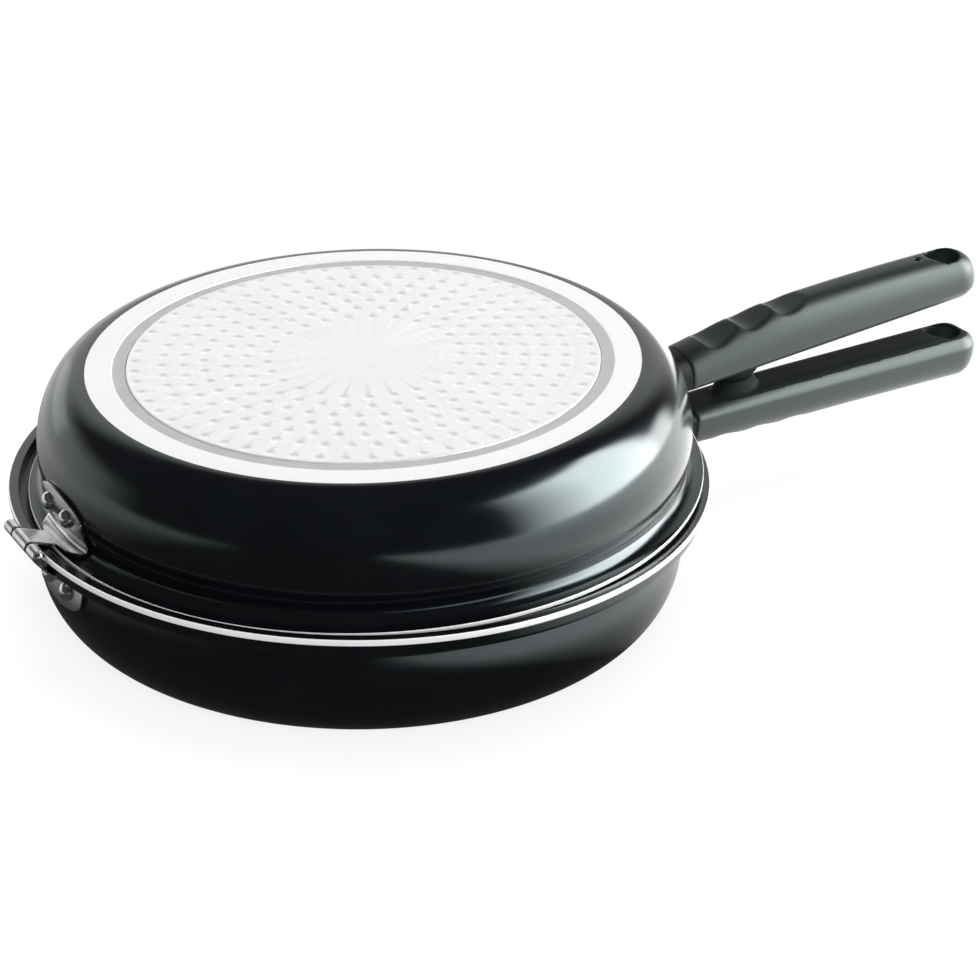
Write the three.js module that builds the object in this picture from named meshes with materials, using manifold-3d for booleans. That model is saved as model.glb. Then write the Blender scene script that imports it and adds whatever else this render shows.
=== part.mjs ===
// Double sided flip pan: two shallow pans that close mouth to mouth on a hook hinge.
// Millimetres, +Z up. The origin is the centre of the lower pan's base, on the table.
// The handles point along +X and the hinge is at -X.
// Each pan is drawn in its own frame: z = 0 at the plane of its mouth, +Z towards its base.

import * as THREE from 'three';
import { mergeVertices } from 'three/addons/utils/BufferGeometryUtils.js';
import Module from 'manifold-3d';

const wasm = await Module();
wasm.setup();

// Driving sizes

const gap = 0.3; // left between pieces that touch
const overrun = 6; // how far every cutting shape runs past what it cuts
const panFacets = 56; // flats round each pan
const boreFacets = 12; // flats round a small hole, screw or pin

// Flats on the other rounded forms
const steps = {
  corner: 6, innerCorner: 4, wall: 3, flare: 4, innerFlare: 3, arch: 12, ledge: 6, curl: 10,
  rivetHead: 4, loafTop: 6, loafShoulder: 4, hollow: 6, gripBody: 4, gripEnd: 6, holeEnd: 8, pad: 18,
};
const fullCircle = 360; // degrees

// Both pans: wall, floor and the foot ring round the base disc
const shell = {
  wideRadius: 124.4, // where the wall is widest
  neckInset: 2.1, // the wall draws in by this much below the mouth
  wall: 2.6,
  floor: 5.0,
  cornerReach: 19.9, // from the widest place in to the foot ring
  innerCornerReach: 21.8,
  ringWidth: 10.2,
  ringRise: 0.35,
  grooveWidth: 5.1, // between the foot ring and the disc
  discThickness: 1.0,
};

// The lower pan has a flat rim with a recess that takes the lip of the upper pan
const lower = {
  name: 'lower',
  depth: 50.7,
  wideDepth: 25.7,
  neckDepth: 12.6,
  flareRise: 5.1,
  lipPlay: 1.0, // round the upper lip in the recess
  rimWidth: 4.0,
  rimBand: 2.3,
  stepInset: 1.7, // the recess's outer side inside the rim's
  stepCorner: 1.5,
};

// The upper pan ends in a plain flared lip
const upper = {
  name: 'upper',
  depth: 46.3,
  wideDepth: 18.0,
  neckDepth: 6.5,
  flareWidth: 6.7,
  flareRise: 5.0,
  lipFace: 3.0,
};

// Hook hinge
const hinge = {
  pinRadius: 1.2,
  pinStandoff: 2.6, // pin centre outside the rim
  pinRise: 1.3, // pin centre above the rim
  sheet: 1.0, // thickness of the curled tongue and eyes
  tongueFoot: 2.0, // from the ledge's edge in to where the tongue starts to rise
  plate: 1.2, // thickness of the plates on the walls
  plateHalfWidth: 18.5,
  tongueHalfWidth: 6.0,
  eyeInner: 7.5, // inner side of each eye, from the middle of the hinge
  eyeOuter: 14.5,
  pinHeadRadius: 2.1,
  pinHeadThickness: 0.9,
  sidePlay: 2.56, // the upper pan sits this far towards the handles
  restAngle: 1.71, // degrees between the two mouths when the handles meet
  armAngle: 52.0, // degrees, slope of the eyes' arms under the rim
  armReach: 10.0, // straight part of an arm, from the eye to its knee
  hookCurl: 200.0, // degrees of curl of the tongue, from the top of the pin
  eyeCurl: 290.0, // degrees of curl of each eye
};

// Each plate starts near its pan's neck: straight sides up to its shoulder, then a low arch
const upperPlate = { bendRise: -2.3, rivetRise: 10.8, straight: 11.9, arch: 6.3, ledgeReach: 0.5 };
const lowerPlate = { bendRise: 0, rivetRise: 5.8, straight: 7.2, arch: 5.8 };

const rivet = {
  halfSpacing: 8.2,
  shankRadius: 2.1,
  headRadius: 3.2,
  headHeight: 1.9,
  innerHeadRadius: 2.7,
  innerHeadHeight: 0.8,
  seat: 0.4, // clear of the plate under the middle of the head
  innerSeat: 0.6,
};

// Moulded grips. Along the grip: x from its root; z from its seam face to its outer side
const grip = {
  standoff: 15.0, // from the edge of the pan's mouth to the root
  length: 152.0,
  halfWidth: 12.0,
  flatHalf: 4.0, // half width of the flat of the seam face
  rootEdge: 3.8, // height of the crisp side edge above the seam face, at the root
  endEdge: 5.2, // and at the end
  edgeAngle: 68.0, // degrees that the seam face's shoulder turns through to the edge
  bellyPlace: 60.0, // where the grip is thickest
  rootRound: 0.8,
  hollowStart: 10.4,
  hollowPitch: 17.7,
  hollowDepth: 1.7,
  hollows: 3,
  endWall: 7.2,
  endTurn: 80.0, // degrees of the half round in plan at the end, left a little flat
  holeRadius: 7.5,
  holeStraight: 1.0,
  padReach: 175.6, // from the lower pan's axis to the middle of the closing pads
  padHalfLength: 11.3,
  padHalfWidth: 6.8,
  padHeight: 9.0,
  padSeat: 2.0, // how deep a pad starts inside its grip
  dotRadius: 1.0,
  dotDepth: 2.0,
  dotStandoff: 5.1,
};
lower.grip = { seamDepth: 5.15, slope: -1.8, rootHeight: 17.6, bellyHeight: 19.0, endHeight: 20.4 };
upper.grip = { seamDepth: -0.3, slope: 4.11, rootHeight: 15.3, bellyHeight: 22.2, endHeight: 18.6 };

// Shares of the pad's half widths left at each share of its height
const padShares = [[0, 1], [0.25, 0.93], [0.45, 0.8], [0.6, 0.62], [0.72, 0.4]];
const loafPower = 2.3; // roundness of the grip's outer side, 2 is an ellipse
const hollowPower = 0.6; // below 1 a finger hollow falls steeply at its root side

const handle = {
  bossRadius: 4.9,
  bossBoreDepth: 20.0,
  guardInset: 0.9, // the sleeve is this much smaller than the grip all round
  guardWall: 1.2,
  screwRadius: 2.5,
  screwReach: 17.0, // how far the screw goes into the boss
  headRadius: 4.2,
  headThickness: 3.4,
  headSlotWidth: 1.2,
  headSlotDepth: 1.4,
  washerThickness: 1.2,
  washerRadius: 4.1,
  washerSlit: 0.8,
  counterboreDepth: 8.0,
};

// Worked out from these
const pinHole = hinge.pinRadius + gap;
const neckRadius = shell.wideRadius - shell.neckInset;
const ringOuter = shell.wideRadius - shell.cornerReach;
const ringInner = ringOuter - shell.ringWidth;
const discRadius = ringInner - shell.grooveWidth;
const floorRadius = shell.wideRadius - shell.wall - shell.innerCornerReach;
const ledgeDepth = lower.neckDepth - lower.flareRise - shell.wall;
const pocketRadius = discRadius + gap;
const pocketDepth = shell.discThickness + gap;
const lipRadius = neckRadius + upper.flareWidth;
const recessRadius = lipRadius + lower.lipPlay;
const rimRadius = recessRadius + lower.rimWidth;
const stepRadius = rimRadius - lower.stepInset;
lower.flareWidth = stepRadius - lower.stepCorner - neckRadius;
lower.edgeRadius = rimRadius;
upper.edgeRadius = lipRadius;
lower.plate = lowerPlate;
upper.plate = upperPlate;
const pinX = -(rimRadius + hinge.pinStandoff);
const pinZ = lower.depth + hinge.pinRise;
const ledgeRadius = lipRadius + upperPlate.ledgeReach;
const upperPinX = pinX - hinge.sidePlay;
const upperPinZ = hinge.pinRise + ledgeDepth - gap;
const holeStart = grip.length - grip.endWall - 2 * grip.holeRadius - grip.holeStraight;
const rootRadius = (pan) => pan.edgeRadius + grip.standoff;
const padPlace = (pan) => grip.padReach - rootRadius(pan) - (pan === upper ? hinge.sidePlay : 0);
const plateStart = (pan) => pan.neckDepth + pan.plate.bendRise;
const plateShoulder = (pan) => plateStart(pan) + pan.plate.straight;
const plateApex = (pan) => plateShoulder(pan) + pan.plate.arch;

// Geometry helpers

const quarterTurn = Math.PI / 2;
const radians = (degrees) => THREE.MathUtils.degToRad(degrees);

// A closed triangle mesh as a solid: shared points merged, empty triangles dropped, faces turned outwards
function solidOf(geometry) {
  geometry.deleteAttribute('normal');
  geometry.deleteAttribute('uv');
  const merged = mergeVertices(geometry);
  const index = merged.index.array;
  const place = merged.attributes.position.array;
  const kept = [];
  let volume = 0;
  for (let i = 0; i < index.length; i += 3) {
    const [a, b, c] = [index[i], index[i + 1], index[i + 2]];
    if (a === b || b === c || c === a) continue;
    kept.push([a, b, c]);
    const [p, q, s] = [a, b, c].map((k) => new THREE.Vector3().fromArray(place, 3 * k));
    volume += p.dot(q.cross(s));
  }
  const triVerts = new Uint32Array(kept.flatMap(([a, b, c]) => (volume > 0 ? [a, b, c] : [a, c, b])));
  const vertProperties = new Float32Array(place);
  return new wasm.Manifold(new wasm.Mesh({ numProp: 3, vertProperties, triVerts }));
}

function geometryOf(solid) {
  const { numProp, vertProperties, triVerts } = solid.getMesh();
  const geometry = new THREE.BufferGeometry();
  geometry.setAttribute('position', new THREE.BufferAttribute(new Float32Array(vertProperties), numProp));
  geometry.setIndex(new THREE.BufferAttribute(new Uint32Array(triVerts), 1));
  geometry.computeVertexNormals();
  return geometry;
}

// An outline of [radius, z] points turned about the Z axis; one that starts off the axis is closed
function revolve(outline, facets = panFacets) {
  const closed = outline[0][0] === 0 ? outline : [...outline, outline[0]];
  const points = closed.map(([radius, z]) => new THREE.Vector2(radius, z));
  return solidOf(new THREE.LatheGeometry(points, facets).rotateX(quarterTurn));
}

// A round bar along +X from one x to another
function barAlongX(radius, from, to, z = 0, facets = boreFacets) {
  const bar = new THREE.CylinderGeometry(radius, radius, to - from, facets);
  return solidOf(bar.rotateZ(quarterTurn).translate((from + to) / 2, 0, z));
}

function block(from, to) {
  const low = new THREE.Vector3(...from);
  const size = new THREE.Vector3(...to).sub(low);
  const centre = low.addScaledVector(size, 1 / 2);
  return solidOf(new THREE.BoxGeometry(size.x, size.y, size.z).translate(centre.x, centre.y, centre.z));
}

// Points on part of an ellipse, angles in degrees
function arc([x, y], [semiX, semiY], from, to, steps) {
  const points = [];
  for (let i = 0; i <= steps; i += 1) {
    const angle = radians(THREE.MathUtils.lerp(from, to, i / steps));
    points.push([x + semiX * Math.cos(angle), y + semiY * Math.sin(angle)]);
  }
  return points;
}

// The same line moved sideways, to its left for a positive distance
function offsetLine(points, distance) {
  return points.map(([x, y], i) => {
    const [ax, ay] = points[Math.max(i - 1, 0)];
    const [bx, by] = points[Math.min(i + 1, points.length - 1)];
    const before = new THREE.Vector2(x - ax, y - ay).normalize();
    const after = new THREE.Vector2(bx - x, by - y).normalize();
    const along = before.clone().add(after).normalize();
    const straightness = Math.max(along.dot(i ? before : after), 1 / 2);
    return [x - (along.y * distance) / straightness, y + (along.x * distance) / straightness];
  });
}

// A flat outline of [x, z] points pushed along Y
function extrudeAlongY(outline, from, to) {
  const shape = new THREE.Shape(outline.map(([x, z]) => new THREE.Vector2(x, z)));
  const slab = new THREE.ExtrudeGeometry(shape, { depth: to - from, bevelEnabled: false });
  return solidOf(slab.rotateX(quarterTurn).translate(0, to, 0));
}

// A bent strip of even thickness along a line of [x, z] points
function strip(line, thickness, from, to) {
  const sides = [offsetLine(line, thickness / 2), offsetLine(line, -thickness / 2).reverse()];
  return extrudeAlongY(sides.flat(), from, to);
}

// A solid through rings of points, with flat ends
function loft(rings) {
  const count = rings[0].length;
  const place = rings.flat().flat();
  const index = [];
  for (let r = 0; r < rings.length - 1; r += 1) {
    for (let k = 0; k < count; k += 1) {
      const [a, b] = [r * count + k, r * count + ((k + 1) % count)];
      index.push(a, b, b + count, a, b + count, a + count);
    }
  }
  const last = (rings.length - 1) * count;
  for (let k = 1; k < count - 1; k += 1) {
    index.push(0, k + 1, k, last, last + k, last + k + 1);
  }
  const geometry = new THREE.BufferGeometry();
  geometry.setAttribute('position', new THREE.Float32BufferAttribute(place, 3));
  geometry.setIndex(index);
  return solidOf(geometry);
}

const moved = (solid, matrix) => solid.transform(matrix.toArray());

// Pan bodies

// Outer side from the foot ring up over the corner and wall to the neck
function wallLine(pan) {
  const corner = arc(
    [ringOuter, pan.wideDepth],
    [shell.cornerReach, pan.depth - pan.wideDepth],
    90, 0, steps.corner,
  );
  return [...corner, ...upperWall(pan, 0, steps.wall)];
}

// From just above the widest place to just below the neck
function upperWall(pan, inset, count) {
  const points = [];
  for (let i = 1; i < count; i += 1) {
    const rise = 1 - i / count;
    const radius = neckRadius + shell.neckInset * Math.sin(rise * quarterTurn);
    points.push([radius - inset, THREE.MathUtils.lerp(pan.neckDepth, pan.wideDepth, rise)]);
  }
  return points;
}

// Centre of the ellipse that the neck's flare follows
const flareCentre = (pan) => [neckRadius + pan.flareWidth, pan.neckDepth];

function lowerMouth() {
  const stepDepth = ledgeDepth + shell.wall;
  const flare = arc(flareCentre(lower), [lower.flareWidth, lower.flareRise], 180, 270, steps.flare);
  const step = [
    [stepRadius, stepDepth - lower.stepCorner],
    [stepRadius, lower.rimBand + gap],
    [rimRadius, lower.rimBand],
    [rimRadius, 0],
  ];
  return [...flare, ...step];
}

function upperMouth() {
  const flare = arc(flareCentre(upper), [upper.flareWidth, upper.flareRise], 180, 270, steps.flare);
  return [...flare, [lipRadius, 0]];
}

// Inner side of the flare, from the radius where it starts down to the neck
function innerFlare(pan, startRadius, semi, count) {
  const [x, z] = flareCentre(pan);
  const start = THREE.MathUtils.radToDeg(Math.acos((startRadius - x) / semi[0]));
  return arc([x, z], semi, fullCircle - start, fullCircle / 2, count);
}

function innerLine(pan, flare) {
  const semi = [shell.innerCornerReach, pan.depth - shell.floor - pan.wideDepth];
  return [
    ...flare,
    ...upperWall(pan, shell.wall, steps.wall - 1).reverse(),
    ...arc([floorRadius, pan.wideDepth], semi, 0, 90, steps.innerCorner),
    [0, pan.depth - shell.floor],
  ];
}

function footLine(pan) {
  return [
    [0, pan.depth - pocketDepth],
    [pocketRadius, pan.depth - pocketDepth],
    [pocketRadius, pan.depth - shell.ringRise],
    [ringInner, pan.depth - shell.ringRise],
    [ringInner + shell.ringRise, pan.depth],
  ];
}

const lowerOuter = [...wallLine(lower), ...lowerMouth()];
const upperOuter = [...wallLine(upper), ...upperMouth()];
const lowerFlareSemi = [lower.flareWidth + shell.wall, lower.flareRise + shell.wall];
const lowerInner = innerLine(lower, [
  [recessRadius, 0],
  ...innerFlare(lower, recessRadius, lowerFlareSemi, steps.flare),
]);
const upperFlareSemi = [upper.flareWidth + shell.wall, upper.neckDepth];
const upperInner = innerLine(upper, [
  [lipRadius - upper.lipFace, 0],
  ...innerFlare(upper, lipRadius - upper.lipFace, upperFlareSemi, steps.innerFlare),
]);
lower.outer = lowerOuter;
lower.inner = lowerInner;
upper.outer = upperOuter;
upper.inner = upperInner;

// Radius of an outline at a depth, between its points
function radiusAt(line, depth) {
  for (let i = 1; i < line.length; i += 1) {
    const [[r0, z0], [r1, z1]] = [line[i - 1], line[i]];
    if ((z0 - depth) * (z1 - depth) <= 0 && z0 !== z1) {
      return THREE.MathUtils.mapLinear(depth, z0, z1, r0, r1);
    }
  }
  return line[0][0];
}

// The filled outer shape of a pan grown by the gap, and carried on past its mouth
function keepOut(pan) {
  const outer = offsetLine([[0, pan.depth], ...pan.outer], gap);
  const mouthRadius = outer[outer.length - 1][0];
  return revolve([...outer, [mouthRadius, -pan.depth], [0, -pan.depth]]);
}

function baseDisc(pan) {
  const top = pan.depth - shell.discThickness;
  return revolve([[0, top], [discRadius, top], [discRadius, pan.depth], [0, pan.depth]]);
}

// Rivets

// A rivet's own frame: z along its shank, z = 0 on the outer face of the plate
function rivetSolid(thickness) {
  const innerFace = -thickness - rivet.innerSeat;
  const outerHead = arc([0, rivet.seat], [rivet.headRadius, rivet.headHeight], 90, 0, steps.rivetHead);
  const innerHead = [
    [rivet.shankRadius, innerFace],
    [rivet.innerHeadRadius, innerFace],
    [rivet.shankRadius, innerFace - rivet.innerHeadHeight],
    [0, innerFace - rivet.innerHeadHeight],
  ];
  return revolve([...outerHead, [rivet.shankRadius, rivet.seat], ...innerHead], boreFacets);
}

// Places of the two rivets of a pan: square to the wall at the rivets' depth
function rivetFrames(pan) {
  const depth = plateStart(pan) + pan.plate.rivetRise;
  const outer = radiusAt(pan.outer, depth);
  const rise = radiusAt(pan.outer, depth + rivet.shankRadius) - radiusAt(pan.outer, depth - rivet.shankRadius);
  const lean = Math.atan2(rise, 2 * rivet.shankRadius);
  const faceRadius = outer + (gap + hinge.plate) / Math.cos(lean);
  const thickness = (faceRadius - radiusAt(pan.inner, depth)) * Math.cos(lean);
  const turn = Math.asin(rivet.halfSpacing / faceRadius);
  return [-1, 1].map((side) => {
    const frame = new THREE.Matrix4().makeRotationZ(Math.PI + side * turn);
    frame.multiply(new THREE.Matrix4().makeTranslation(faceRadius, 0, depth));
    frame.multiply(new THREE.Matrix4().makeRotationY(quarterTurn + lean));
    return { frame, thickness };
  });
}

function rivetHole({ frame, thickness }) {
  const radius = rivet.shankRadius + gap;
  const reach = thickness + overrun;
  const hole = revolve([[0, -reach], [radius, -reach], [radius, overrun], [0, overrun]], boreFacets);
  return moved(hole, frame);
}

// Hinge plates

// The layer of plate that lies on a pan's wall, from its apex to its start
function wallLayer(pan, count) {
  const inner = [];
  for (let i = 0; i <= count; i += 1) {
    const depth = THREE.MathUtils.lerp(plateApex(pan), plateStart(pan), i / count);
    inner.push([radiusAt(pan.outer, depth) + gap, depth]);
  }
  const outer = inner.map(([radius, depth]) => [radius + hinge.plate, depth]);
  return [inner, outer];
}

// An arch in the YZ plane: straight sides up to the shoulder, round above it, pushed along X
function archCutter(pan) {
  const round = arc([0, plateShoulder(pan)], [hinge.plateHalfWidth, pan.plate.arch], 0, 180, steps.arch);
  const outline = [...round, [-hinge.plateHalfWidth, 0], [hinge.plateHalfWidth, 0]];
  const width = 2 * rimRadius;
  return moved(extrudeAlongY(outline, 0, width), new THREE.Matrix4().makeRotationZ(quarterTurn));
}

// Curl of a strip round the pin, from an angle at the tongue or arm to the free end
function curl([x, z], from, to) {
  const middle = pinHole + hinge.sheet / 2;
  return arc([x, z], [middle, middle], from, to, steps.curl);
}

// Plate on the upper wall, ledge over the lip, and the tongue that rises and curls round the pin
function hingeHook() {
  const [inner, outer] = wallLayer(upper, steps.curl / 2);
  const under = plateStart(upper) - hinge.sheet;
  const bendRadius = radiusAt(upper.outer, under) + 2 * gap;
  const ledge = [[bendRadius, under], [ledgeRadius, under], [ledgeRadius, under + hinge.sheet]];
  const layer = revolve([...inner, ...ledge, ...outer.reverse()]);
  const plate = layer.intersect(archCutter(upper)).intersect(ledgeCutter());
  const level = under + hinge.sheet / 2;
  const foot = new THREE.Vector2(hinge.tongueFoot - ledgeRadius, level);
  const toPin = new THREE.Vector2(upperPinX, upperPinZ).sub(foot);
  const climb = Math.atan2(toPin.y, -toPin.x) + Math.asin((pinHole + hinge.sheet / 2) / toPin.length());
  const around = curl([upperPinX, upperPinZ], 90 - THREE.MathUtils.radToDeg(climb), 90 + hinge.hookCurl);
  const line = [[-bendRadius - hinge.plate / 2, level], foot.toArray(), ...around];
  return plate.add(strip(line, hinge.sheet, -hinge.tongueHalfWidth, hinge.tongueHalfWidth));
}

// Plan of the hook: full width over the wall, drawn in to the tongue by a quarter ellipse on each side
function ledgeCutter() {
  const end = ledgeRadius + overrun;
  const inner = Math.sqrt(neckRadius * neckRadius - hinge.plateHalfWidth * hinge.plateHalfWidth);
  const round = [ledgeRadius - inner, hinge.plateHalfWidth - hinge.tongueHalfWidth];
  const side = arc([-inner, hinge.tongueHalfWidth], round, 180, 90, steps.ledge);
  const other = side.map(([x, y]) => [x, -y]).reverse();
  const outline = [[0, hinge.plateHalfWidth], [0, -hinge.plateHalfWidth], ...other];
  outline.push([-end, -hinge.tongueHalfWidth], [-end, hinge.tongueHalfWidth], ...side);
  const slab = extrudeAlongY(outline, -upper.depth, upper.depth);
  return moved(slab, new THREE.Matrix4().makeRotationX(-quarterTurn));
}

// Plate on the lower wall with two arms that rise under the rim and curl round the pin
function hingeBracket() {
  const [inner, outer] = wallLayer(lower, steps.curl / 2);
  const layer = revolve([...inner, ...outer.reverse()]);
  let bracket = layer.intersect(archCutter(lower));
  const centre = [pinX, lower.depth - pinZ];
  const slope = radians(hinge.armAngle);
  const armStart = 90 + hinge.armAngle;
  const around = curl(centre, armStart + hinge.eyeCurl, armStart);
  const [eyeX, eyeZ] = around.at(-1);
  const knee = [eyeX + hinge.armReach * Math.cos(slope), eyeZ + hinge.armReach * Math.sin(slope)];
  const seat = radiusAt(lower.outer, plateStart(lower)) + gap + hinge.plate / 2;
  const landing = [1, 2].map((share) => [-seat, plateStart(lower) + share * hinge.plate]);
  const line = [...around, knee, ...landing];
  for (const [from, to] of [[hinge.eyeInner, hinge.eyeOuter], [-hinge.eyeOuter, -hinge.eyeInner]]) {
    bracket = bracket.add(strip(line, hinge.sheet, from, to));
  }
  return bracket;
}

function hingePin() {
  const end = hinge.eyeOuter + gap;
  const tip = end + hinge.pinHeadThickness;
  const half = [[hinge.pinRadius, end], [hinge.pinHeadRadius, end], [hinge.pinHeadRadius, end + gap], [hinge.pinRadius, tip]];
  const outline = [...half, [0, tip]];
  const mirrored = outline.map(([radius, z]) => [radius, -z]).reverse();
  const turned = new THREE.Matrix4().makeRotationX(quarterTurn);
  return moved(revolve([...mirrored, ...outline], boreFacets), turned);
}

// Grips

// Depth of the finger hollows below the smooth outer side, at a place along the grip
function hollowAt(x) {
  const along = (x - grip.hollowStart) / grip.hollowPitch;
  if (along <= 0 || along >= grip.hollows) return 0;
  return grip.hollowDepth * Math.sin(Math.PI * (along % 1) ** hollowPower);
}

// Thickness of the grip from its seam face to its outer side
function heightAt(pan, x) {
  const { rootHeight, bellyHeight, endHeight } = pan.grip;
  if (x < grip.bellyPlace) {
    const swell = Math.sin((x / grip.bellyPlace) * quarterTurn);
    return rootHeight + (bellyHeight - rootHeight) * swell - hollowAt(x);
  }
  const fall = (x - grip.bellyPlace) / (grip.length - grip.bellyPlace);
  return THREE.MathUtils.lerp(bellyHeight, endHeight, fall * fall);
}

// Half of a loaf-shaped section as [y, z]: over the outer side to the crisp side edge, then round the
// shoulder to the flat seam face. Near the grip's end it is drawn in by a half round in plan
function loafHalf(x, halfWidth, height, lift, endOffset = 0) {
  const { flatHalf, rootEdge, endEdge } = grip;
  const edgeHeight = THREE.MathUtils.lerp(rootEdge, endEdge, x / grip.length);
  const turn = radians(grip.edgeAngle);
  const shoulderReach = (halfWidth - flatHalf) / Math.sin(turn);
  const shoulderRise = edgeHeight / (1 - Math.cos(turn));
  const shrink = 1 - endOffset / halfWidth;
  const half = [];
  const place = (inset, z) => {
    const reach = halfWidth - inset;
    half.push([Math.sqrt(Math.max(reach * reach - endOffset * endOffset, 0)), z + lift]);
  };
  for (let i = 0; i <= steps.loafTop; i += 1) {
    const share = Math.sin((i / steps.loafTop) * quarterTurn) ** (2 / loafPower);
    const inset = halfWidth * (1 - share) * shrink;
    const rise = (1 - ((halfWidth - inset) / halfWidth) ** loafPower) ** (1 / loafPower);
    place(inset, edgeHeight + (height - edgeHeight) * rise);
  }
  for (let i = 1; i <= steps.loafShoulder; i += 1) {
    const reach = flatHalf + shoulderReach * Math.sin(turn * (1 - i / steps.loafShoulder));
    const inset = (halfWidth - reach) * shrink;
    const past = Math.max(halfWidth - inset - flatHalf, 0) / shoulderReach;
    place(inset, shoulderRise * (1 - Math.sqrt(1 - past * past)));
  }
  return half;
}

// The whole section as a ring of [x, y, z] points
function loafRing(x, half) {
  const other = half.slice(1).reverse().map(([y, z]) => [-y, z]);
  return [...half, ...other].map(([y, z]) => [x, y, z]);
}

function gripRings(pan) {
  const rings = [];
  const { halfWidth, rootRound } = grip;
  const root = heightAt(pan, 0) - 2 * rootRound;
  rings.push(loafRing(0, loafHalf(0, halfWidth - rootRound, root, rootRound)));
  const roundStart = grip.length - halfWidth;
  const fingerEnd = grip.hollowStart + grip.hollows * grip.hollowPitch;
  const places = [rootRound, grip.hollowStart / 2];
  const fine = grip.hollows * steps.hollow;
  const between = (from, to, share) => places.push(THREE.MathUtils.lerp(from, to, share));
  for (let i = 0; i <= fine; i += 1) between(grip.hollowStart, fingerEnd, i / fine);
  for (let i = 1; i <= steps.gripBody; i += 1) between(fingerEnd, roundStart, i / steps.gripBody);
  for (const x of places) rings.push(loafRing(x, loafHalf(x, halfWidth, heightAt(pan, x), 0)));
  for (let i = 1; i <= steps.gripEnd; i += 1) {
    const endOffset = halfWidth * Math.sin((i / steps.gripEnd) * radians(grip.endTurn));
    const x = roundStart + endOffset;
    rings.push(loafRing(x, loafHalf(x, halfWidth, heightAt(pan, x), 0, endOffset)));
  }
  return rings;
}

// The closing pad on the seam face, before it is cut level with its partner
function closingPad(pan) {
  const start = [padRing(pan, grip.padSeat, 1)];
  return loft([...start, ...padShares.map(([rise, share]) => padRing(pan, -rise * grip.padHeight, share))]);
}

function padRing(pan, z, share) {
  const semi = [grip.padHalfLength * share, grip.padHalfWidth * share];
  const last = fullCircle * (1 - 1 / steps.pad);
  return arc([padPlace(pan), 0], semi, 0, last, steps.pad - 1).map(([x, y]) => [x, y, z]);
}

// Oval through hole at the end, to hang the pan by
function hangingHole() {
  const radius = grip.holeRadius;
  const first = arc([holeStart + radius, 0], [radius, radius], 90, 270, steps.holeEnd);
  const last = arc([holeStart + radius + grip.holeStraight, 0], [radius, radius], 270, 450, steps.holeEnd);
  const outline = [...first, ...last];
  const slab = extrudeAlongY(outline, -upper.depth, upper.depth);
  return moved(slab, new THREE.Matrix4().makeRotationX(-quarterTurn));
}

const boreHeight = (pan) => pan.grip.rootHeight / 2;

function gripSolid(pan, padCutter) {
  const z = boreHeight(pan);
  const bore = barAlongX(handle.screwRadius + gap, -overrun, holeStart + overrun, z);
  const counterbore = barAlongX(handle.headRadius + gap, holeStart - handle.counterboreDepth, holeStart + overrun, z);
  const dotPlace = holeStart - grip.dotStandoff;
  const top = heightAt(pan, dotPlace);
  const dot = revolve([[0, 0], [grip.dotRadius, 0], [grip.dotRadius, overrun], [0, overrun]], boreFacets / 2);
  const dotFrame = new THREE.Matrix4().makeTranslation(dotPlace, 0, top - grip.dotDepth);
  return loft(gripRings(pan))
    .add(closingPad(pan).subtract(padCutter))
    .subtract(hangingHole())
    .subtract(bore)
    .subtract(counterbore)
    .subtract(moved(dot, dotFrame));
}

// Sleeve between the wall and the grip
function flameGuard(pan) {
  const { guardInset, guardWall } = handle;
  const height = heightAt(pan, 0);
  const rings = [0, guardWall].map((extra) => {
    const inset = guardInset + extra;
    return loafHalf(0, grip.halfWidth - inset, height - 2 * inset, inset);
  });
  const start = ringOuter - rootRadius(pan);
  const outside = loft([loafRing(start, rings[0]), loafRing(-gap, rings[0])]);
  const inside = loft([loafRing(start - overrun, rings[1]), loafRing(overrun, rings[1])]);
  return outside.subtract(inside);
}

// Threaded boss on the wall that the handle screw pulls on
function handleBoss(pan) {
  const z = boreHeight(pan);
  const boss = barAlongX(handle.bossRadius, ringOuter - rootRadius(pan), -gap, z, 2 * boreFacets);
  return boss.subtract(barAlongX(handle.screwRadius + gap, -handle.bossBoreDepth, overrun, z));
}

const headStart = holeStart - handle.counterboreDepth + gap + handle.washerThickness + gap;

function handleScrew(pan) {
  const { headThickness, headSlotWidth, headSlotDepth, headRadius } = handle;
  const z = boreHeight(pan);
  const shank = barAlongX(handle.screwRadius, -handle.screwReach, headStart + headThickness / 2, z);
  const head = barAlongX(headRadius, headStart, headStart + headThickness, z);
  const end = headStart + headThickness;
  const slot = block(
    [end - headSlotDepth, -headSlotWidth / 2, z - headRadius - overrun],
    [end + overrun, headSlotWidth / 2, z + headRadius + overrun],
  );
  return shank.add(head).subtract(slot);
}

function springWasher(pan) {
  const z = boreHeight(pan);
  const start = holeStart - handle.counterboreDepth + gap;
  const ring = barAlongX(handle.washerRadius, start, start + handle.washerThickness, z)
    .subtract(barAlongX(handle.screwRadius + gap, start - overrun, start + overrun, z));
  const slit = block(
    [start - overrun, -handle.washerSlit / 2, z],
    [start + overrun, handle.washerSlit / 2, z + handle.washerRadius + overrun],
  );
  return ring.subtract(slit);
}

// Placing the pans and their grips

function panGroup(pan) {
  const group = new THREE.Group();
  if (pan === lower) {
    group.rotation.x = Math.PI;
    group.position.z = lower.depth;
  } else {
    group.rotation.y = -radians(hinge.restAngle);
    const turnedPin = new THREE.Vector3(upperPinX, 0, upperPinZ).applyEuler(group.rotation);
    group.position.set(pinX - turnedPin.x, 0, pinZ - turnedPin.z);
  }
  group.updateMatrixWorld();
  return group;
}

// From the grip's frame to its pan's frame
function gripFrame(pan) {
  const frame = new THREE.Matrix4().makeTranslation(rootRadius(pan), 0, pan.grip.seamDepth);
  return frame.multiply(new THREE.Matrix4().makeRotationY(-radians(pan.grip.slope)));
}

const groups = new Map([lower, upper].map((pan) => [pan, panGroup(pan)]));

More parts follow.
